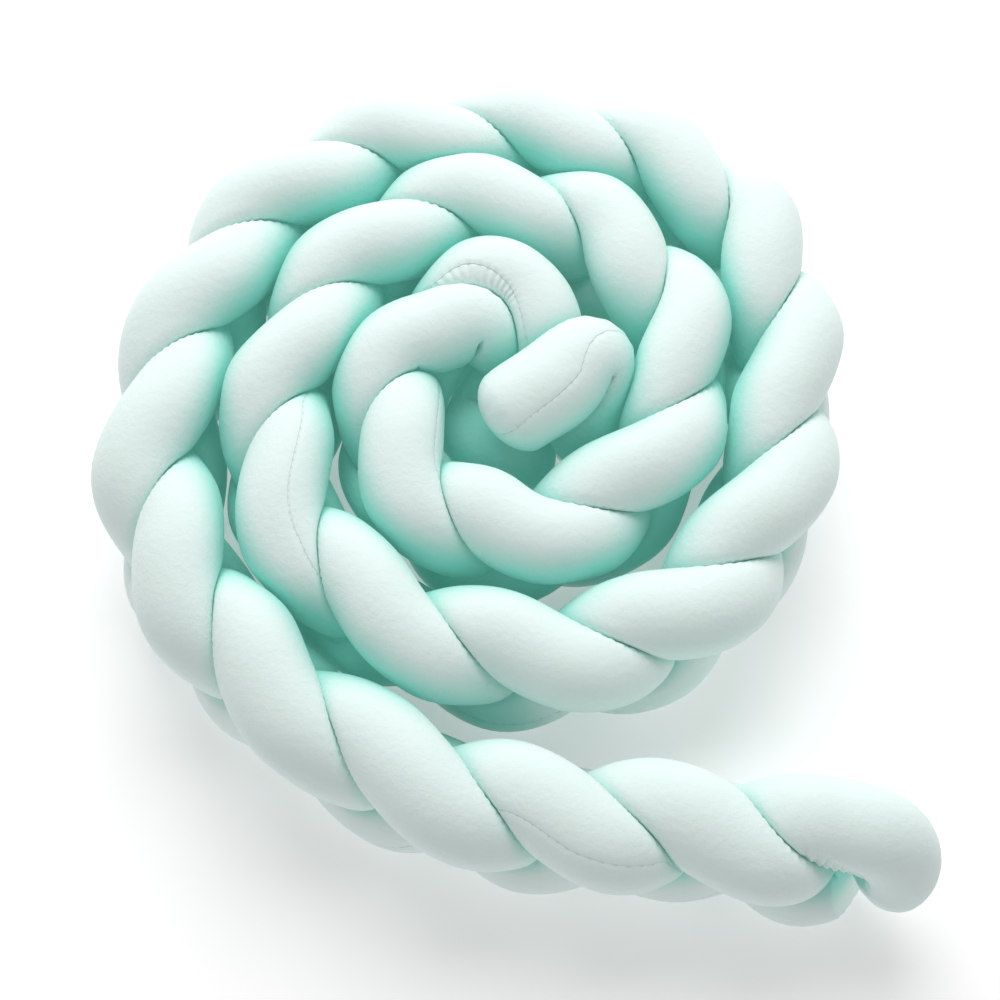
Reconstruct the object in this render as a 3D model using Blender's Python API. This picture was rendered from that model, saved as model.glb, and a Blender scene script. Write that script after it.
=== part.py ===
"""Braided long pillow: three stuffed plush tubes in a flat plait, stood on edge and coiled up."""
import math

import bmesh
import bpy
import numpy as np

OBJECT_NAME = "braided_long_pillow"

TUBE_RADIUS = 0.039      # a stuffed tube before its neighbours press on it
HALF_RISE = 0.0443       # how far a tube climbs above and below the middle of the plait
RISE_EASING = 0.0022     # flattens the top and bottom of that climb a little
SIDE_SWING = 0.0159      # how far a tube swings to each side of the plait
PRESSED_GAP = 0.0057     # clearance left between two tubes that press on each other
FLOOR_PRESS = 0.0065     # how much the lower loops are flattened on the floor
CROSSINGS_PER_TURN = 3.0 # a tube comes up again after three crossings
CAP_LENGTH = 0.022       # length over which a sewn end is drawn in
BEND_CARE = 0.014        # crowds the rings of vertices where a tube bends tightly, in metres
CREASE_SHARPNESS = 8.0   # a high number gives sharper creases between the tubes
RINGS = 190              # rings of vertices along one tube
SIDES = 12               # vertices in one ring
RING_STEP = 2.0 * math.pi / SIDES
MOST_TURN = math.radians(5.0)

# Where the pole of the spiral lies, so that the coil is centred on the object's origin.
POLE = (0.004, 0.035)

# The line that the plait follows on the floor, one row for each crossing on its top edge,
# from the free end to the core of the coil. The turn is in degrees, clockwise round the pole,
# and the reach is the distance from the pole in metres.
ROUTE_COLUMNS = ("crossing", "turn", "reach")
ROUTE = (
    (-2, 39, 0.540),
    (-1, 50, 0.475),
    (0, 64, 0.405),
    (1, 81, 0.370),
    (2, 101, 0.350),
    (3, 126, 0.335),
    (4, 148, 0.340),
    (5, 171, 0.335),
    (6, 196, 0.325),
    (7, 221, 0.325),
    (8, 245, 0.315),
    (9, 270, 0.305),
    (10, 294, 0.310),
    (11, 318, 0.290),
    (12, 346, 0.250),
    (13, 380, 0.235),
    (14, 412, 0.235),
    (15, 444, 0.230),
    (16, 478, 0.230),
    (17, 513, 0.235),
    (18, 548, 0.220),
    (19, 583, 0.225),
    (20, 618, 0.225),
    (21, 653, 0.200),
    (22, 691, 0.165),
    (23, 745, 0.120),
    (24, 811, 0.120),
    (25, 869, 0.125),
    (26, 929, 0.125),
    (27, 975, 0.110),
)

# How each tube runs on to its sewn end after it leaves the regular plait, in metres
# from the pole, from the plait outwards.
END_COLUMNS = ("x", "y", "z")
FREE_ENDS = {
    "a": (
        (0.255, -0.370, 0.080),
        (0.270, -0.355, 0.060),
        (0.280, -0.340, 0.045),
        (0.290, -0.325, 0.040),
    ),
    "b": (
        (0.265, -0.388, 0.035),
        (0.285, -0.386, 0.035),
        (0.305, -0.375, 0.040),
        (0.315, -0.360, 0.050),
        (0.315, -0.350, 0.050),
    ),
    "c": (
        (0.255, -0.352, 0.118),
        (0.280, -0.353, 0.120),
        (0.305, -0.355, 0.120),
        (0.325, -0.360, 0.112),
        (0.337, -0.368, 0.098),
        (0.338, -0.377, 0.078),
        (0.325, -0.387, 0.055),
    ),
}
CORE_ENDS = {
    "a": (
        (-0.045, 0.130, 0.120),
        (-0.010, 0.115, 0.120),
        (0.010, 0.085, 0.110),
        (0.015, 0.070, 0.095),
        (0.015, 0.055, 0.080),
    ),
    "b": (
        (-0.060, 0.100, 0.035),
        (-0.010, 0.110, 0.035),
        (0.030, 0.085, 0.035),
        (0.045, 0.045, 0.035),
        (0.050, 0.000, 0.040),
        (0.055, 0.010, 0.065),
        (0.060, 0.030, 0.090),
        (0.065, 0.045, 0.110),
        (0.055, 0.050, 0.125),
        (0.030, 0.025, 0.130),
        (-0.005, -0.005, 0.125),
        (-0.030, -0.025, 0.115),
    ),
    "c": (
        (-0.050, 0.085, 0.115),
        (-0.030, 0.080, 0.100),
        (-0.015, 0.080, 0.080),
        (-0.015, 0.065, 0.060),
        (-0.030, 0.050, 0.045),
        (-0.045, 0.030, 0.035),
        (-0.040, 0.005, 0.035),
        (-0.010, -0.005, 0.035),
        (0.010, -0.010, 0.035),
        (0.035, -0.010, 0.035),
    ),
}

# The stretch of each tube that follows the regular plait, in crossings along the route.
TUBES = (
    {"tube": "a", "phase": 0, "from": -0.50, "to": 26.25},
    {"tube": "b", "phase": 1, "from": -0.35, "to": 26.10},
    {"tube": "c", "phase": 2, "from": -0.35, "to": 26.20},
)


def spline(knots, values, places):
    """Values at the places on a natural cubic spline through the knots."""
    knots = np.asarray(knots, dtype=float)
    values = np.asarray(values, dtype=float)
    count = len(knots)
    steps = np.diff(knots)
    slopes = np.diff(values, axis=0) / steps[:, None]
    system = np.eye(count)
    right = np.zeros_like(values)
    for row in range(1, count - 1):
        system[row, row - 1] = steps[row - 1]
        system[row, row] = 2.0 * (steps[row - 1] + steps[row])
        system[row, row + 1] = steps[row]
        right[row] = 6.0 * (slopes[row] - slopes[row - 1])
    bend = np.linalg.solve(system, right)
    index = np.clip(np.searchsorted(knots, places) - 1, 0, count - 2)
    width = steps[index][:, None]
    after = (places - knots[index])[:, None]
    before = width - after
    cubic = (bend[index] * before ** 3 + bend[index + 1] * after ** 3) / (6.0 * width)
    first = (values[index] / width - bend[index] * width / 6.0) * before
    second = (values[index + 1] / width - bend[index + 1] * width / 6.0) * after
    return cubic + first + second


def on_floor(places):
    """Points of the route on the floor, for places counted in crossings."""
    table = np.array(ROUTE, dtype=float)
    polar = spline(table[:, 0], table[:, 1:], places)
    angle = -np.radians(polar[:, 0])
    return np.stack([polar[:, 1] * np.cos(angle), polar[:, 1] * np.sin(angle)], axis=1)


def route_at(places):
    """Point on the route and direction to its outer side, for places counted in crossings."""
    here = on_floor(places)
    along = on_floor(places + 0.01) - here
    along /= np.linalg.norm(along, axis=1)[:, None]
    outward = np.stack([-along[:, 1], along[:, 0]], axis=1)
    return here, outward


def plaited_points(phase, places):
    """Middle line of one tube where it follows the regular plait."""
    here, outward = route_at(places)
    angle = 2.0 * math.pi * (places - phase) / CROSSINGS_PER_TURN + math.pi / 2.0
    rise = HALF_RISE * np.sin(angle) + RISE_EASING * np.sin(3.0 * angle)
    swing = SIDE_SWING * np.sin(2.0 * angle)
    middle = TUBE_RADIUS - FLOOR_PRESS + HALF_RISE - RISE_EASING
    points = np.zeros((len(places), 3))
    points[:, :2] = here + outward * swing[:, None]
    points[:, 2] = middle + rise
    return points


def tube_line(tube, count, care):
    """Points on the middle line of one whole tube with its two sewn ends.

    With some care they lie closer where the line bends and at the sewn ends.
    """
    places = np.arange(tube["from"], tube["to"], 0.25)
    regular = plaited_points(tube["phase"], places)
    free = np.array(FREE_ENDS[tube["tube"]])[::-1]
    core = np.array(CORE_ENDS[tube["tube"]])
    marks = np.concatenate([free, regular, core])
    marks[:, :2] += POLE
    run = np.concatenate([[0.0], np.cumsum(np.linalg.norm(np.diff(marks, axis=0), axis=1))])
    fine = spline(run, marks, np.linspace(0.0, run[-1], 4000))
    steps = np.linalg.norm(np.diff(fine, axis=0), axis=1)
    length = np.concatenate([[0.0], np.cumsum(steps)])
    heading = np.gradient(fine, length, axis=0)
    bend = np.linalg.norm(np.gradient(heading, length, axis=0), axis=1)
    to_end = np.minimum(length, length[-1] - length)
    weight = 1.0 + care * bend + 60.0 * care * (to_end < CAP_LENGTH)
    spread = np.concatenate([[0.0], np.cumsum(steps * (weight[1:] + weight[:-1]) / 2.0)])
    even = np.linspace(0.0, spread[-1], count)
    return np.stack([np.interp(even, spread, fine[:, axis]) for axis in range(3)], axis=1)


def girth(line):
    """Radius of the stuffed tube along its line, drawn in to a small flat at each end."""
    steps = np.linalg.norm(np.diff(line, axis=0), axis=1)
    length = np.concatenate([[0.0], np.cumsum(steps)])
    to_end = np.minimum(length, length[-1] - length)
    inset = np.clip(1.0 - (to_end + 0.003) / CAP_LENGTH, 0.0, 1.0)
    return TUBE_RADIUS * np.sqrt(1.0 - inset ** 2)


def pressed_reach(centre, outward, radius, others, own, gap):
    """How far the tube reaches in each direction before a neighbour or the floor stops it."""
    reach = np.full(len(outward), radius)
    for crowd, clearance in ((others, gap), (own, 0.0)):
        offset = crowd - centre
        distance = np.linalg.norm(offset, axis=1)
        near = offset[distance < 2.2 * TUBE_RADIUS + gap]
        if len(near) == 0:
            continue
        distance = np.linalg.norm(near, axis=1)
        facing = outward @ near.T
        half = distance * (distance - clearance) / 2.0
        limit = np.where(facing > 1e-6, half / np.maximum(facing, 1e-6), 1.0).min(axis=1)
        blend = reach ** -CREASE_SHARPNESS + limit ** -CREASE_SHARPNESS
        reach = blend ** (-1.0 / CREASE_SHARPNESS)
    down = -outward[:, 2]
    floor = np.where(down > 1e-6, centre[2] / np.maximum(down, 1e-6), 1.0)
    return np.minimum(reach, floor)


def tube_rings(line, radii, fine_lines, own_fine):
    """Rings of points round a tube, pressed in by its neighbours."""
    tangents = np.gradient(line, axis=0)
    tangents /= np.linalg.norm(tangents, axis=1)[:, None]
    side = np.cross(tangents[0], (0.0, 0.0, 1.0))
    side /= np.linalg.norm(side)
    turns = np.arange(SIDES) * RING_STEP
    spacing = np.linalg.norm(own_fine[1] - own_fine[0])
    skip = int(0.030 / spacing)
    rings = []
    for index, centre in enumerate(line):
        tangent = tangents[index]
        side = side - tangent * (side @ tangent)
        side /= np.linalg.norm(side)
        up = np.cross(side, tangent)
        # Turn the ring a little, so that two of its points lie side by side at the bottom.
        bottom = math.atan2(-up[2], -side[2]) / RING_STEP - 0.5
        amount = RING_STEP * (bottom - round(bottom))
        amount = max(-MOST_TURN, min(MOST_TURN, amount))
        side = math.cos(amount) * side + math.sin(amount) * up
        up = np.cross(side, tangent)
        outward = np.cos(turns)[:, None] * side + np.sin(turns)[:, None] * up
        here = int(np.argmin(np.linalg.norm(own_fine - centre, axis=1)))
        own = np.concatenate([own_fine[:max(here - skip, 0)], own_fine[here + skip:]])
        reach = pressed_reach(centre, outward, radii[index], fine_lines, own, PRESSED_GAP)
        rings.append(centre + outward * reach[:, None])
    return rings


def tube_mesh(name, rings):
    """A closed mesh from the rings: a grid rolled round the tube with a flat at each end."""
    mesh = bmesh.new()
    rows = len(rings)
    bmesh.ops.create_grid(mesh, x_segments=SIDES, y_segments=rows - 1, size=0.5)
    mesh.verts.ensure_lookup_table()
    for number, vertex in enumerate(mesh.verts):
        row, column = divmod(number, SIDES + 1)
        vertex.co = rings[row][column % SIDES]
    bmesh.ops.remove_doubles(mesh, verts=mesh.verts, dist=1e-6)
    open_edges = [edge for edge in mesh.edges if edge.is_boundary]
    bmesh.ops.holes_fill(mesh, edges=open_edges, sides=SIDES)
    bmesh.ops.triangulate(mesh, faces=mesh.faces)
    bmesh.ops.recalc_face_normals(mesh, faces=mesh.faces)
    for face in mesh.faces:
        face.smooth = True
    data = bpy.data.meshes.new(name)
    mesh.to_mesh(data)
    mesh.free()
    return bpy.data.objects.new(name, data)


def plush(name, colour):
    """Short pile plush: a plain matt fabric."""
    material = bpy.data.materials.new(name)
    material.use_nodes = True
    shader = material.node_tree.nodes["Principled BSDF"]
    shader.inputs["Base Color"].default_value = colour
    shader.inputs["Roughness"].default_value = 0.9
    shader.inputs["Metallic"].default_value = 0.0
    return material


def build():
    for old in list(bpy.data.objects):
        bpy.data.objects.remove(old, do_unlink=True)
    collection = bpy.data.collections.new(OBJECT_NAME)
    bpy.context.scene.collection.children.link(collection)
    fine_lines = {tube["tube"]: tube_line(tube, 1400, 0.0) for tube in TUBES}
    for tube in TUBES:
        letter = tube["tube"]
        line = tube_line(tube, RINGS, BEND_CARE)
        others = np.concatenate([fine_lines[key] for key in fine_lines if key != letter])
        rings = tube_rings(line, girth(line), others, fine_lines[letter])
        piece = tube_mesh("tube_" + letter, rings)
        piece.data.materials.append(plush("plush_" + letter, (0.62, 0.82, 0.75, 1.0)))
        collection.objects.link(piece)


build()
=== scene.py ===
# %% [markdown]
# # A braided long pillow, coiled up on the floor
# The real one is three long tubes of short pile plush, stuffed with fibre and plaited
# flat. It lines a cot or edges a bed. Here it stands on its edge and is wound into a
# loose spiral. The imported CAD model is the frame, and this lesson makes the fine
# surface that lies in it. The first cell loads the frame.

# %% Load the frame
import math

import bmesh
import bpy
import numpy as np
from mathutils import Matrix, Vector, noise


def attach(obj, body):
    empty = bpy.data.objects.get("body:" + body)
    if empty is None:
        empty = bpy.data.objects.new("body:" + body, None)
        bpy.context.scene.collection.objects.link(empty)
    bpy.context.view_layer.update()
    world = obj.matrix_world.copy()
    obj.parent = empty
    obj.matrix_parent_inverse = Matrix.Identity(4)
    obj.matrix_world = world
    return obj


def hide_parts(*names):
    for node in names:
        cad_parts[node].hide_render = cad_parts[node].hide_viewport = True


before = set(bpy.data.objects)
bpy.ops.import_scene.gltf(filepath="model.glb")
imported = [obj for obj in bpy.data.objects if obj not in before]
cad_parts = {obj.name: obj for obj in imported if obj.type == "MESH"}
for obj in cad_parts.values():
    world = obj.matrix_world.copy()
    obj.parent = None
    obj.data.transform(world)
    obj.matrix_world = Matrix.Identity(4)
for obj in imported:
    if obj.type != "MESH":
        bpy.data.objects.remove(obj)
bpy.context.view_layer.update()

# %% [markdown]
# ## The plait rule
# In a flat plait each strand climbs over one edge, crosses the middle and dives under
# the other edge, and it swings from side to side twice in that time. A sine for the
# climb and a sine of twice the angle for the swing draw that figure. Three strands
# share the rule, a third of a turn apart. Sizes are in metres.

# %% Sizes of the plait
TUBE_RADIUS = 0.039
HALF_RISE = 0.0443
RISE_EASING = 0.0022
SIDE_SWING = 0.0159
FLOOR_PRESS = 0.0065
TUBES = (
    {"tube": "a", "phase": 0, "from": -0.50, "to": 26.25},
    {"tube": "b", "phase": 1, "from": -0.35, "to": 26.10},
    {"tube": "c", "phase": 2, "from": -0.35, "to": 26.20},
)
print("plait height", round(2 * (TUBE_RADIUS + HALF_RISE - RISE_EASING) - FLOOR_PRESS, 4))

# %% [markdown]
# ## The route on the floor
# The coil isn't an even spiral: it hugs itself for a turn and then steps inwards. So
# the route is a short table, one row for each crossing on the plait's top edge, as a
# turn in degrees clockwise round a pole and a reach from it. A smooth curve through
# the rows gives every place between them.

# %% Route table
POLE = (0.004, 0.035)
# Each row is a crossing, its turn in degrees and its reach in metres.
ROUTE = (
    (-2, 39, 0.540),
    (-1, 50, 0.475),
    (0, 64, 0.405),
    (1, 81, 0.370),
    (2, 101, 0.350),
    (3, 126, 0.335),
    (4, 148, 0.340),
    (5, 171, 0.335),
    (6, 196, 0.325),
    (7, 221, 0.325),
    (8, 245, 0.315),
    (9, 270, 0.305),
    (10, 294, 0.310),
    (11, 318, 0.290),
    (12, 346, 0.250),
    (13, 380, 0.235),
    (14, 412, 0.235),
    (15, 444, 0.230),
    (16, 478, 0.230),
    (17, 513, 0.235),
    (18, 548, 0.220),
    (19, 583, 0.225),
    (20, 618, 0.225),
    (21, 653, 0.200),
    (22, 691, 0.165),
    (23, 745, 0.120),
    (24, 811, 0.120),
    (25, 869, 0.125),
    (26, 929, 0.125),
    (27, 975, 0.110),
)
print("crossings", len(ROUTE))

# %% [markdown]
# ## The six sewn ends
# Past the last crossings the tubes leave the rule: at the free end one tube hooks
# round the other two, and at the core one end curls away low down while another comes
# up and lies across the middle. Each end is a few points from the pole, read in order
# from the plait outwards.

# %% Ends of the tubes
# Each row is x, y and z in metres, with x and y from the pole.
FREE_ENDS = {
    "a": (
        (0.255, -0.370, 0.080),
        (0.270, -0.355, 0.060),
        (0.280, -0.340, 0.045),
        (0.290, -0.325, 0.040),
    ),
    "b": (
        (0.265, -0.388, 0.035),
        (0.285, -0.386, 0.035),
        (0.305, -0.375, 0.040),
        (0.315, -0.360, 0.050),
        (0.315, -0.350, 0.050),
    ),
    "c": (
        (0.255, -0.352, 0.118),
        (0.280, -0.353, 0.120),
        (0.305, -0.355, 0.120),
        (0.325, -0.360, 0.112),
        (0.337, -0.368, 0.098),
        (0.338, -0.377, 0.078),
        (0.325, -0.387, 0.055),
    ),
}
CORE_ENDS = {
    "a": (
        (-0.045, 0.130, 0.120),
        (-0.010, 0.115, 0.120),
        (0.010, 0.085, 0.110),
        (0.015, 0.070, 0.095),
        (0.015, 0.055, 0.080),
    ),
    "b": (
        (-0.060, 0.100, 0.035),
        (-0.010, 0.110, 0.035),
        (0.030, 0.085, 0.035),
        (0.045, 0.045, 0.035),
        (0.050, 0.000, 0.040),
        (0.055, 0.010, 0.065),
        (0.060, 0.030, 0.090),
        (0.065, 0.045, 0.110),
        (0.055, 0.050, 0.125),
        (0.030, 0.025, 0.130),
        (-0.005, -0.005, 0.125),
        (-0.030, -0.025, 0.115),
    ),
    "c": (
        (-0.050, 0.085, 0.115),
        (-0.030, 0.080, 0.100),
        (-0.015, 0.080, 0.080),
        (-0.015, 0.065, 0.060),
        (-0.030, 0.050, 0.045),
        (-0.045, 0.030, 0.035),
        (-0.040, 0.005, 0.035),
        (-0.010, -0.005, 0.035),
        (0.010, -0.010, 0.035),
        (0.035, -0.010, 0.035),
    ),
}
print("ends", len(FREE_ENDS) + len(CORE_ENDS))

# %% [markdown]
# ## Middle lines
# A natural cubic spline bends like a thin springy wire, which is how a stuffed tube
# likes to lie. The same spline smooths the route and joins the regular plait to the
# listed ends. A coarse copy of each line is enough to press on the others, and a
# fine one carries the rings.

# %% Middle line of a tube
LINE_STEP = 0.004
FINE_STEP = 0.001
MARK_STEP = 0.25
CURVE_POINTS = 6000


def spline(knots, values, places):
    """Values at the places on a natural cubic spline through the knots."""
    knots = np.asarray(knots, dtype=float)
    values = np.asarray(values, dtype=float)
    count = len(knots)
    steps = np.diff(knots)
    slopes = np.diff(values, axis=0) / steps[:, None]
    system = np.eye(count)
    right = np.zeros_like(values)
    for row in range(1, count - 1):
        system[row, row - 1] = steps[row - 1]
        system[row, row] = 2.0 * (steps[row - 1] + steps[row])
        system[row, row + 1] = steps[row]
        right[row] = 6.0 * (slopes[row] - slopes[row - 1])
    bend = np.linalg.solve(system, right)
    index = np.clip(np.searchsorted(knots, places) - 1, 0, count - 2)
    width = steps[index][:, None]
    after = (places - knots[index])[:, None]
    before = width - after
    cubic = (bend[index] * before ** 3 + bend[index + 1] * after ** 3) / (6.0 * width)
    first = (values[index] / width - bend[index] * width / 6.0) * before
    second = (values[index + 1] / width - bend[index + 1] * width / 6.0) * after
    return cubic + first + second


def point_between(points, length, places):
    """Points of a line at the given lengths along it."""
    return np.stack([np.interp(places, length, points[:, axis]) for axis in range(3)], axis=1)


def on_floor(places):
    """Points of the route on the floor, for places counted in crossings."""
    table = np.array(ROUTE, dtype=float)
    polar = spline(table[:, 0], table[:, 1:], places)
    angle = -np.radians(polar[:, 0])
    return np.stack([polar[:, 1] * np.cos(angle), polar[:, 1] * np.sin(angle)], axis=1)


def plaited_points(phase, places):
    """Middle line of one tube where it follows the regular plait."""
    here = on_floor(places)
    along = on_floor(places + 0.01) - here
    along /= np.linalg.norm(along, axis=1)[:, None]
    outward = np.stack([-along[:, 1], along[:, 0]], axis=1)
    angle = 2.0 * math.pi * (places - phase) / 3.0 + math.pi / 2.0
    rise = HALF_RISE * np.sin(angle) + RISE_EASING * np.sin(3.0 * angle)
    swing = SIDE_SWING * np.sin(2.0 * angle)
    points = np.zeros((len(places), 3))
    points[:, :2] = here + outward * swing[:, None]
    points[:, 2] = TUBE_RADIUS - FLOOR_PRESS + HALF_RISE - RISE_EASING + rise
    return points


def run_along(points):
    """Length along a line of points, at each of them."""
    steps = np.linalg.norm(np.diff(points, axis=0), axis=1)
    return np.concatenate([[0.0], np.cumsum(steps)])


def tube_line(tube, spacing):
    """Evenly spaced points on the middle line of one whole tube."""
    places = np.arange(tube["from"], tube["to"], MARK_STEP)
    regular = plaited_points(tube["phase"], places)
    free = np.array(FREE_ENDS[tube["tube"]])[::-1]
    core = np.array(CORE_ENDS[tube["tube"]])
    marks = np.concatenate([free, regular, core])
    marks[:, :2] += POLE
    run = run_along(marks)
    curve = spline(run, marks, np.linspace(0.0, run[-1], CURVE_POINTS))
    length = run_along(curve)
    even = np.linspace(0.0, length[-1], int(length[-1] / spacing) + 1)
    return point_between(curve, length, even)


lines = {tube["tube"]: tube_line(tube, LINE_STEP) for tube in TUBES}
for letter, line in lines.items():
    print("tube", letter, "length", round(LINE_STEP * (len(line) - 1), 2), "m")

# %% [markdown]
# ## How a soft tube gives way
# Loose stuffing takes no room from its neighbour: two tubes that press on each other
# meet half way between their middle lines. So the surface is pushed out along each
# direction until it is as far from its own line as from another one, or until it
# reaches its full radius or the floor. The inner side of a tight bend stops short of
# the point that the bend turns round. A blended minimum rounds the lips of the creases.
# No cloth simulation runs here: nearly fourteen metres of pressed tube is a great deal
# for the three minutes that this script may take.

# %% Pressing
PRESSED_GAP = 0.0004
CREASE_SHARPNESS = 14.0
BEND_SHARE = 0.60
PRESSING_RADII = 2.5
NO_LIMIT = 1.0
# Each row is a length along the tube and its full radius there, in metres.
GIRTH = {
    "a": (
        (0.0, 0.0390), (0.20, 0.0405), (0.45, 0.0405), (0.80, 0.0390), (5.0, 0.0390),
    ),
    "b": (
        (0.0, 0.0375), (0.20, 0.0405), (0.45, 0.0405), (0.80, 0.0390), (4.60, 0.0390),
        (4.68, 0.0420), (5.0, 0.0420),
    ),
    "c": (
        (0.0, 0.0375), (0.25, 0.0375), (0.34, 0.0400), (0.45, 0.0405), (0.80, 0.0390),
        (5.0, 0.0390),
    ),
}


def plane_reach(facing, distance):
    """Reach along a direction up to a plane, or no limit where it looks away from it."""
    return np.where(facing > 1e-6, distance / np.maximum(facing, 1e-6), NO_LIMIT)


def blended_minimum(first, second):
    """The smaller of two reaches, rounded where they are nearly equal."""
    blend = first ** -CREASE_SHARPNESS + second ** -CREASE_SHARPNESS
    return blend ** (-1.0 / CREASE_SHARPNESS)


def pressed_reach(centre, outward, radius, bend, others, own):
    """How far the tube reaches in each direction before something stops it."""
    reach = blended_minimum(radius, plane_reach(outward @ bend, BEND_SHARE))
    for crowd in (others, own):
        offset = crowd - centre
        distance = np.linalg.norm(offset, axis=1)
        near = distance < PRESSING_RADII * TUBE_RADIUS
        if not near.any():
            continue
        distance = distance[near]
        half = distance * (distance - PRESSED_GAP) / 2.0
        limit = plane_reach(outward @ offset[near].T, half).min(axis=1)
        reach = blended_minimum(reach, limit)
    return np.minimum(reach, plane_reach(-outward[:, 2], centre[2]))


print("creases leave", PRESSED_GAP * 1000, "mm between tubes")

# %% [markdown]
# ## The sewn seam
# Each tube is a strip of plush folded lengthways and sewn shut, so one seam runs its
# whole length and rolls slowly as the tube is plaited. The table says where the seam
# lies: how far along the tube, and how many degrees it leans from straight up. Between
# the rows it turns evenly in a frame that is carried along the tube without twisting.

# %% Seam table
# Each row is a length along the tube in metres and the seam's lean in degrees.
SEAM = {
    "a": (
        (0.00, -150), (0.17, -150), (0.63, -150), (1.11, -150), (1.58, -150), (2.05, -150),
        (2.52, -150), (3.00, -150), (3.47, -150), (3.94, -120), (4.25, -60), (4.33, -14),
        (4.35, 5), (4.38, 27), (4.40, 33), (4.50, 33),
    ),
    "b": (
        (0.00, -140), (0.20, -110), (0.26, -35), (0.31, -37), (0.36, -38), (0.50, -90),
        (0.79, -150), (1.28, -150), (1.75, -160), (2.22, -170), (2.69, 180), (3.17, 170),
        (3.64, 150), (4.08, 50), (4.14, 52), (4.40, 90), (4.58, 165), (4.66, -28),
        (4.70, -36), (4.76, -45),
    ),
    "c": (
        (0.00, -65), (0.14, -65), (0.30, -110), (0.54, -150), (1.01, -150), (1.50, -150),
        (1.96, -150), (2.43, -120), (2.70, -50), (2.83, -7), (2.86, 14), (2.92, 18),
        (2.98, 20), (3.20, 110), (3.38, 150), (3.85, 150), (4.30, 150), (4.60, 150),
    ),
}


def carried_frames(tangents):
    """Side and up directions for each point, carried along without twisting."""
    side = np.cross(tangents[0], (0.0, 0.0, 1.0))
    sides = []
    for tangent in tangents:
        side = side - tangent * (side @ tangent)
        side /= np.linalg.norm(side)
        sides.append(side)
    sides = np.array(sides)
    return sides, np.cross(sides, tangents)


def seam_angles(letter, along, tangents, sides, ups):
    """Angle of the seam round the tube at each place, in the carried frame."""
    table = np.array(SEAM[letter])
    knots = []
    for place, lean in table:
        row = int(np.argmin(np.abs(along - place)))
        plumb = np.array((0.0, 0.0, 1.0)) - tangents[row] * tangents[row][2]
        plumb /= np.linalg.norm(plumb)
        across = np.cross(tangents[row], plumb)
        angle = math.radians(lean)
        seam = plumb * math.cos(angle) + across * math.sin(angle)
        knots.append(math.atan2(seam @ ups[row], seam @ sides[row]))
    return np.interp(along, table[:, 0], np.unwrap(knots))


print("seam rows", sum(len(rows) for rows in SEAM.values()))

# %% [markdown]
# ## Gathers
# Where a sewn tube is bent hard, the cloth on the inner side of the bend has nowhere to
# go and stands in small radial folds beside the seam. The table lists these places: a
# stretch of the tube, the middle and half width of the folded strip in degrees round
# from the seam, and the pitch and depth of the folds in metres. Near each sewn end the
# cloth is drawn together in closing pleats.

# %% Gather table
# Each row is start, end, middle, half width, pitch and depth.
GATHERS = {
    "a": ((4.31, 4.40, -24.0, 20.0, 0.0068, 0.0016),),
    "b": (),
    "c": ((0.030, 0.160, 12.0, 26.0, 0.0078, 0.0028),),
}
GATHER_FADE = 0.010
STRIP_FADE = 12.0
FOLD_SWAY = 0.25
SWAY_PACE = 90.0
PLEATS = 13
PLEAT_DEPTH = 0.0011
PLEAT_START = 0.003
PLEAT_END = 0.012
PLEAT_SWAY = 1.5


def window(values, low, high, soft):
    """One between low and high, and eased to nothing over the soft width outside."""
    rise = np.clip((values - low) / soft + 1.0, 0.0, 1.0)
    fall = np.clip((high - values) / soft + 1.0, 0.0, 1.0)
    ease = np.minimum(rise, fall)
    return ease * ease * (3.0 - 2.0 * ease)


def gather_depth(letter, along, turned):
    """How far the folds draw the cloth in, at one place and for each direction."""
    depth = np.zeros(len(turned))
    for start, end, middle, half_width, pitch, fold in GATHERS[letter]:
        strength = float(window(np.array([along]), start, end, GATHER_FADE)[0])
        if strength <= 0.0:
            continue
        away = np.degrees(turned) - middle
        strip = window(away, -half_width, half_width, STRIP_FADE)
        sway = FOLD_SWAY * noise.noise(Vector((along * SWAY_PACE, 0.3, 0.7)))
        wave = 0.5 + 0.5 * math.cos(2.0 * math.pi * (along / pitch + sway))
        depth += fold * strength * strip * wave
    return depth


def end_pleats(to_end, turned):
    """How far the closing pleats draw the cloth in near a sewn end."""
    fade = float(window(np.array([to_end]), PLEAT_START, PLEAT_END, PLEAT_END)[0])
    wave = np.cos(PLEATS * turned + PLEAT_SWAY * np.sin(2.0 * turned))
    return PLEAT_DEPTH * fade * (0.5 + 0.5 * wave)


print("gathered places", sum(len(rows) for rows in GATHERS.values()))

# %% [markdown]
# ## Rings of a tube
# A row of rings follows the middle line. Rings stand closer where the cloth is
# gathered, and each end closes like the end of a bolster: the rings shrink along a
# quarter circle to a small flat button of gathered cloth.

# %% Places of the rings
CAP_LENGTH = 0.029
RING_STEP = 0.0048
GATHER_STEP = 0.0015
GATHER_MARGIN = 0.012
PLACE_STEP = 0.0005
CAP_TURNS = np.radians(
    (4.0, 10.0, 17.0, 24.0, 31.0, 38.0, 45.0, 52.0, 59.0, 66.0, 73.0, 80.0)
)


def ring_places(letter, total):
    """Place along the tube and share of the full radius, for each ring."""
    fine = np.arange(CAP_LENGTH, total - CAP_LENGTH, PLACE_STEP)
    density = np.full(len(fine), 1.0 / RING_STEP)
    for start, end, *_ in GATHERS[letter]:
        folded = (fine > start - GATHER_MARGIN) & (fine < end + GATHER_MARGIN)
        density[folded] = 1.0 / GATHER_STEP
    count = np.cumsum(density) * PLACE_STEP
    body = np.interp(np.arange(0.0, count[-1], 1.0), count, fine)
    cap = CAP_LENGTH * (1.0 - np.cos(CAP_TURNS))
    share = np.sin(CAP_TURNS)
    along = np.concatenate([cap, body, (total - cap)[::-1]])
    return along, np.concatenate([share, np.ones(len(body)), share[::-1]])


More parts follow.
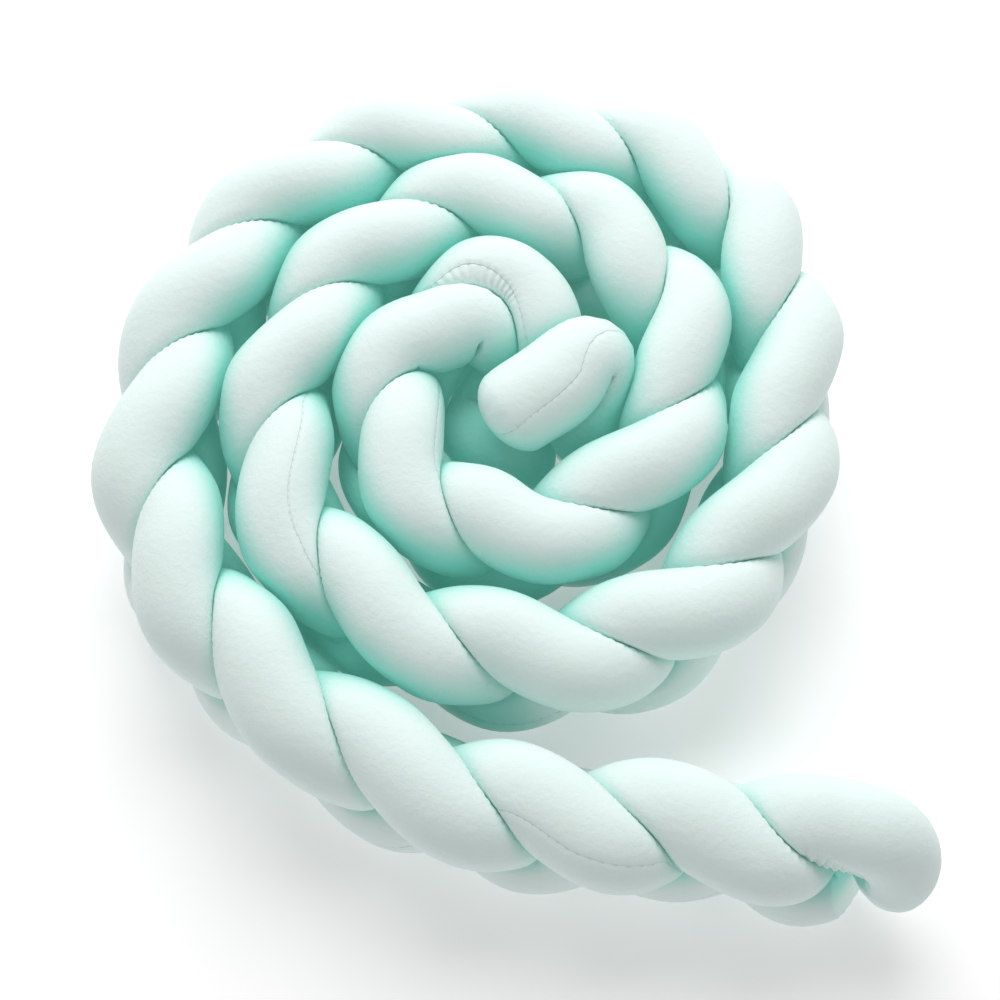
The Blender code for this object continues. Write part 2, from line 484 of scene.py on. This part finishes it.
print("ring steps", RING_STEP * 1000, "mm, and", GATHER_STEP * 1000, "mm where gathered")

# %% [markdown]
# The columns of a ring start opposite the seam and crowd together beside it, so the
# slight dip that the stitches pull into the cloth has enough points. Loose fibre never
# fills a tube evenly, so a slow noise adds lumps of about a millimetre. Each point also
# keeps how much of the light the other tubes hide and how far they press it in.

# %% Rings of points
SIDES = 60
LUMP_SIZE = 0.065
LUMP_HEIGHT = 0.0024
SEAM_DIP = 0.0006
SEAM_WIDTH = 0.0025
BEND_SPAN = 0.006
OWN_SKIP = 0.030
SHADE_REACH = 0.12
LEAN_OF_LIGHT = 0.3
spread = np.linspace(-1.0, 1.0, SIDES + 1)[:-1]
turns = math.pi * (0.55 * spread + 0.45 * spread ** 3)


def hidden_share(ring, outward, close):
    """Share of the light from all round that the other tubes keep off each point."""
    if len(close) == 0:
        return np.zeros(len(ring))
    offset = close[None, :, :] - ring[:, None, :]
    distance = np.maximum(np.linalg.norm(offset, axis=2), TUBE_RADIUS)
    facing = np.einsum("pqk,pk->pq", offset, outward) / distance
    facing = np.clip(facing + LEAN_OF_LIGHT, 0.0, None) / (1.0 + LEAN_OF_LIGHT)
    seen = facing * 2.0 * TUBE_RADIUS * LINE_STEP / (math.pi * distance ** 2)
    return np.clip(seen.sum(axis=1), 0.0, 1.0)


def lumpy_radius(letter, centre, outward, along, to_end, share):
    """Full radius in each direction, with lumps, seam dip, gathers and pleats."""
    lump = np.array([
        noise.noise(Vector(centre + TUBE_RADIUS * way) / LUMP_SIZE) for way in outward
    ])
    radius = np.interp(along, *np.array(GIRTH[letter]).T) * share
    radius = radius + LUMP_HEIGHT * lump * share
    radius = radius - SEAM_DIP * np.exp(-(turns * TUBE_RADIUS / SEAM_WIDTH) ** 2) * share
    radius = radius - gather_depth(letter, along, turns)
    return radius - end_pleats(to_end, turns) * share


def tube_rings(letter, fine_line, others, own):
    """Rings of points for a whole tube, with their shares of hidden light and pressing."""
    length = np.arange(len(fine_line)) * FINE_STEP
    along, share = ring_places(letter, length[-1])
    centres = point_between(fine_line, length, along)
    tangents = point_between(np.gradient(fine_line, axis=0), length, along)
    tangents /= np.linalg.norm(tangents, axis=1)[:, None]
    sides, ups = carried_frames(tangents)
    seam = seam_angles(letter, along, tangents, sides, ups)
    before = point_between(fine_line, length, along - BEND_SPAN)
    after = point_between(fine_line, length, along + BEND_SPAN)
    bends = (before + after - 2.0 * centres) / BEND_SPAN ** 2
    shape = {"rings": [], "along": along, "hidden": [], "pressed": []}
    for index, centre in enumerate(centres):
        place = along[index]
        angle = seam[index] + turns
        outward = np.cos(angle)[:, None] * sides[index] + np.sin(angle)[:, None] * ups[index]
        to_end = min(place, along[-1] - place)
        radius = lumpy_radius(letter, centre, outward, place, to_end, share[index])
        apart = np.abs(own[:, 3] - place)
        turn = own[apart > OWN_SKIP, :3]
        reach = pressed_reach(centre, outward, radius, bends[index], others, turn)
        ring = centre + outward * reach[:, None]
        around = np.concatenate([others, own[apart > SHADE_REACH, :3]])
        close = around[np.linalg.norm(around - centre, axis=1) < SHADE_REACH]
        shape["rings"].append(ring)
        shape["hidden"].append(hidden_share(ring, outward, close))
        shape["pressed"].append(1.0 - reach / radius)
    return shape


print("columns in a ring", SIDES)

# %% [markdown]
# ## Cloth from a flat grid
# bmesh makes one flat grid, a row for each ring. Its points are carried to the rings,
# the two long edges meet opposite the seam and are merged, and the two small holes are
# filled. The grid's flat layout becomes the UV map, in metres along the tube and round
# it from the seam, so the stitches follow the tube wherever it goes.

# %% Roll a grid into a tube
def rolled_tube(name, shape):
    """A closed tube of cloth with its UV map and its two point attributes."""
    rows = len(shape["rings"])
    shell = bmesh.new()
    cloth = shell.loops.layers.uv.new("cloth")
    hidden = shell.verts.layers.float.new("hidden")
    pressed = shell.verts.layers.float.new("pressed")
    flat = bmesh.ops.create_grid(shell, x_segments=SIDES, y_segments=rows - 1, size=0.5)
    round_seam = np.append(turns, math.pi) * TUBE_RADIUS
    place = {}
    for number, vertex in enumerate(flat["verts"]):
        row, column = divmod(number, SIDES + 1)
        vertex.co = Vector(shape["rings"][row][column % SIDES])
        vertex[hidden] = float(shape["hidden"][row][column % SIDES])
        vertex[pressed] = float(shape["pressed"][row][column % SIDES])
        place[vertex] = (float(shape["along"][row]), float(round_seam[column]))
    for face in shell.faces:
        for loop in face.loops:
            loop[cloth].uv = place[loop.vert]
    bmesh.ops.remove_doubles(shell, verts=shell.verts, dist=1e-6)
    rims = [edge for edge in shell.edges if edge.is_boundary]
    for button in bmesh.ops.holes_fill(shell, edges=rims, sides=SIDES + 1)["faces"]:
        for loop in button.loops:
            beside = [other for other in loop.vert.link_loops if other.face != button]
            loop[cloth].uv = beside[0][cloth].uv
    bmesh.ops.recalc_face_normals(shell, faces=shell.faces)
    for face in shell.faces:
        face.smooth = True
    mesh = bpy.data.meshes.new(name)
    shell.to_mesh(mesh)
    shell.free()
    piece = bpy.data.objects.new(name, mesh)
    bpy.context.scene.collection.objects.link(piece)
    return piece


tubes = {}
for tube in TUBES:
    letter = tube["tube"]
    others = np.concatenate([lines[other] for other in lines if other != letter])
    own = np.column_stack([lines[letter], np.arange(len(lines[letter])) * LINE_STEP])
    shape = tube_rings(letter, tube_line(tube, FINE_STEP), others, own)
    tubes[letter] = rolled_tube("plush_" + letter, shape)
    triangles = sum(len(face.vertices) - 2 for face in tubes[letter].data.polygons)
    print("plush", letter, len(shape["rings"]), "rings", triangles, "triangles")

# %% [markdown]
# ## Short pile plush
# The cover is knitted polyester plush, dyed mint, with a nap cut under a millimetre
# high. Countless fibre tips scatter the light, so there is no gloss, only a pale sheen
# at the edges. Where two tubes press together, the light bouncing from cloth to cloth
# is painted in as shade that deepens the mint and as a faint glow. One function turns
# sRGB hex colours to linear, and one adds a node with its settings and its links.

# %% Material helpers
def linear(hex_code):
    """A linear RGBA colour from an sRGB hex value."""
    parts = [int(hex_code[i:i + 2], 16) / 255.0 for i in (1, 3, 5)]
    light = [p / 12.92 if p <= 0.04045 else ((p + 0.055) / 1.055) ** 2.4 for p in parts]
    return (*light, 1.0)


def add_node(tree, kind, links=None, **settings):
    """Adds one node, sets its properties and sockets, and links its inputs."""
    node = tree.nodes.new(kind)
    for name, value in settings.items():
        if hasattr(node, name):
            setattr(node, name, value)
    for socket, value in (links or {}).items():
        target = node.inputs[socket]
        if isinstance(value, bpy.types.NodeSocket):
            tree.links.new(value, target)
        else:
            target.default_value = value
    return node


def eased_range(tree, value, low, high, at_low, at_high):
    """A socket that eases from one value to another while its input crosses a range."""
    links = {"Value": value, "From Min": low, "From Max": high,
             "To Min": at_low, "To Max": at_high}
    return add_node(tree, "ShaderNodeMapRange", links,
                    interpolation_type="SMOOTHSTEP").outputs[0]


def bump(tree, height, strength, distance, **under):
    """A normal that adds a relief, in metres, to the one under it."""
    links = {"Strength": strength, "Distance": distance, "Height": height, **under}
    return add_node(tree, "ShaderNodeBump", links).outputs["Normal"]


def new_material(name):
    """A material whose tree holds nothing but its output."""
    material = bpy.data.materials.new(name)
    material.use_nodes = True
    material.node_tree.nodes.clear()
    return material, material.node_tree


print("mint in linear", [round(c, 3) for c in linear("#CDEFE6")])

# %% [markdown]
# Painted shade: the colour deepens with the share of the light that the other tubes hide.

# %% Plush colour
# Short pile plush gives the eye a soft matt mint with no gloss, and painted shade deepens the mint
# in the creases.
plush, tree = new_material("short_pile_polyester_plush")
where = add_node(tree, "ShaderNodeTexCoord").outputs["Object"]
hidden = add_node(tree, "ShaderNodeAttribute", attribute_name="hidden").outputs["Fac"]
# Painted shade: the mint deepens from #E6F5F1 towards #9FE2D8 where the other tubes hide the
# light.
mint_with_painted_shade = add_node(tree, "ShaderNodeValToRGB", {"Fac": hidden})
for stop, place, shade in ((0, 0.12, "#E6F5F1"), (1, 0.95, "#9FE2D8")):
    mint_with_painted_shade.color_ramp.elements[stop].position = place
    mint_with_painted_shade.color_ramp.elements[stop].color = linear(shade)
middle = mint_with_painted_shade.color_ramp.elements.new(0.45)
middle.color = linear("#CBF0E9")
print("ramp stops", len(mint_with_painted_shade.color_ramp.elements))

# %% [markdown]
# The seam is a row of stitches that sinks about a millimetre into the pile. Its distance
# comes from the UV map, so one narrow band and a small pit every six millimetres along
# it are enough.

# %% Stitched seam
HALF_PITCH = 0.0032
spot = add_node(tree, "ShaderNodeUVMap", uv_map="cloth").outputs["UV"]
parts = add_node(tree, "ShaderNodeSeparateXYZ", {"Vector": spot})
beside = add_node(tree, "ShaderNodeMath", {0: parts.outputs["Y"]}, operation="ABSOLUTE").outputs[0]
band = eased_range(tree, beside, 0.0002, 0.0012, 1.0, 0.0)
beat = add_node(tree, "ShaderNodeMath", {0: parts.outputs["X"], 1: HALF_PITCH},
                operation="PINGPONG").outputs[0]
pit = eased_range(tree, beat, 0.0004, 0.0016, 1.0, 0.0)
thread = add_node(tree, "ShaderNodeMath", {0: band, 1: pit}, operation="MULTIPLY").outputs[0]
# Painted shade in the stitch pits: the colour darkens towards #7FA39B along the sunken thread.
shadow = add_node(tree, "ShaderNodeMath", {0: thread, 1: 0.22}, operation="MULTIPLY").outputs[0]
print("pit every", 2.0 * HALF_PITCH * 1000, "mm")

# %% [markdown]
# Three reliefs lie over each other: the cut nap, the way the pile has been stroked, and
# the seam. The nap is far finer than a pixel, so it is drawn about 1.6 mm coarse to show
# at all, and the stroked pile about 7 mm. A pale sheen stands for the fibre tips that
# catch light at the edges. A little painted glow in the creases, where cloth is hidden
# or pressed, stands for the light that comes through the loose cloth and fibre.

# %% Plush surface
nap = add_node(tree, "ShaderNodeTexNoise",
               {"Vector": where, "Scale": 620.0, "Detail": 2.0,
                "Roughness": 0.6}).outputs["Fac"]
stroked = add_node(tree, "ShaderNodeTexNoise",
                   {"Vector": where, "Scale": 150.0, "Detail": 2.0,
                    "Roughness": 0.55}).outputs["Fac"]
fuzz = bump(tree, nap, 0.45, 0.0006)
stroke = bump(tree, stroked, 0.50, 0.0012, Normal=fuzz)
sewn = bump(tree, band, 0.55, 0.0010, Normal=stroke)
sewn.node.invert = True
colour = add_node(tree, "ShaderNodeMix",
                  {0: shadow, 6: mint_with_painted_shade.outputs["Color"], 7: linear("#7FA39B")},
                  data_type="RGBA")
pressed = add_node(tree, "ShaderNodeAttribute", attribute_name="pressed").outputs["Fac"]
# Painted glow: hidden and pressed creases give off a little mint light, though the cloth is no
# lamp.
glow_where_hidden = eased_range(tree, hidden, 0.50, 0.95, 0.0, 0.055)
glow_where_pressed = eased_range(tree, pressed, 0.02, 0.10, 0.0, 0.035)
painted_crease_glow = add_node(tree, "ShaderNodeMath", {0: glow_where_hidden, 1: glow_where_pressed}, operation="ADD").outputs[0]
cover = add_node(tree, "ShaderNodeBsdfPrincipled",
                 {"Base Color": colour.outputs[2], "Roughness": 0.95, "Specular IOR Level": 0.15,
                  "Emission Color": linear("#A6EADF"), "Emission Strength": painted_crease_glow,
                  "Sheen Weight": 0.20, "Sheen Roughness": 0.45, "Normal": sewn})
add_node(tree, "ShaderNodeOutputMaterial", {"Surface": cover.outputs["BSDF"]})
plush.cycles.emission_sampling = "NONE"

for letter, piece in tubes.items():
    piece.data.materials.append(plush)
    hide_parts("tube_" + letter)
    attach(piece, "root")
print("covered", len(tubes), "tubes")

# %% [markdown]
# ## Floor
# A plain near white floor, as a studio sweep has.

# %% Floor
FLOOR_HALF_SIDE = 6.0
FLOOR_DROP = 0.0005
floor_shell = bmesh.new()
bmesh.ops.create_grid(floor_shell, x_segments=1, y_segments=1, size=FLOOR_HALF_SIDE)
bmesh.ops.translate(floor_shell, verts=floor_shell.verts, vec=(0.0, 0.0, -FLOOR_DROP))
floor_mesh = bpy.data.meshes.new("floor")
floor_shell.to_mesh(floor_mesh)
floor_shell.free()
floor = bpy.data.objects.new("floor", floor_mesh)
bpy.context.scene.collection.objects.link(floor)
# Matt paper gives the eye an even white that takes soft shadows and shows no gloss.
floor_paint, tree = new_material("matt_white_paper")
paper = add_node(tree, "ShaderNodeBsdfPrincipled",
                 {"Base Color": linear("#F8F8F8"), "Roughness": 0.9,
                  "Emission Color": linear("#FFFFFF"), "Emission Strength": 0.24})
add_node(tree, "ShaderNodeOutputMaterial", {"Surface": paper.outputs["BSDF"]})
floor_mesh.materials.append(floor_paint)
print("floor laid")

# %% [markdown]
# ## Light
# One broad soft light stands above and behind the coil, a little to its left, and a
# white tent, brighter low down than overhead, fills the rest.

# %% Lights
MIDDLE = Vector((0.0, 0.0, 0.08))


def soft_light(name, place, size, power):
    """A square area light that faces the middle of the coil."""
    lamp = bpy.data.lights.new(name, "AREA")
    lamp.shape = "SQUARE"
    lamp.size = size
    lamp.energy = power
    holder = bpy.data.objects.new(name, lamp)
    turn = (Vector(place) - MIDDLE).to_track_quat("Z", "Y").to_matrix().to_4x4()
    holder.matrix_world = Matrix.Translation(place) @ turn
    bpy.context.scene.collection.objects.link(holder)
    return holder


soft_light("tent_back", (-0.3, 1.75, 2.15), 2.2, 66.0)
sky = bpy.data.worlds.new("light_tent")
sky.use_nodes = True
tent = sky.node_tree
way = add_node(tent, "ShaderNodeTexCoord").outputs["Generated"]
height = add_node(tent, "ShaderNodeSeparateXYZ", {"Vector": way}).outputs["Z"]
glow = eased_range(tent, height, 0.55, 0.95, 0.64, 0.15)
wall = tent.nodes["Background"]
tent.links.new(glow, wall.inputs["Strength"])
wall.inputs["Color"].default_value = (1.0, 1.0, 1.0, 1.0)
bpy.context.scene.world = sky
bpy.context.scene.view_settings.view_transform = "Standard"
print("lights set")

# %% [markdown]
# ## Camera
# The pillow is seen from above and a little in front, with a short telephoto view.

# %% Camera
eye = bpy.data.cameras.new("camera")
eye.sensor_width = 36.0
eye.lens = 49.16
camera = bpy.data.objects.new("camera", eye)
camera.matrix_world = (
    Matrix.Translation((-0.011, -0.510, 1.2457))
    @ Matrix.Rotation(math.radians(21.78), 4, "X")
    @ Matrix.Rotation(math.radians(5.26), 4, "Z")
)
bpy.context.scene.collection.objects.link(camera)
bpy.context.scene.camera = camera
print("camera at", tuple(round(c, 3) for c in camera.location))
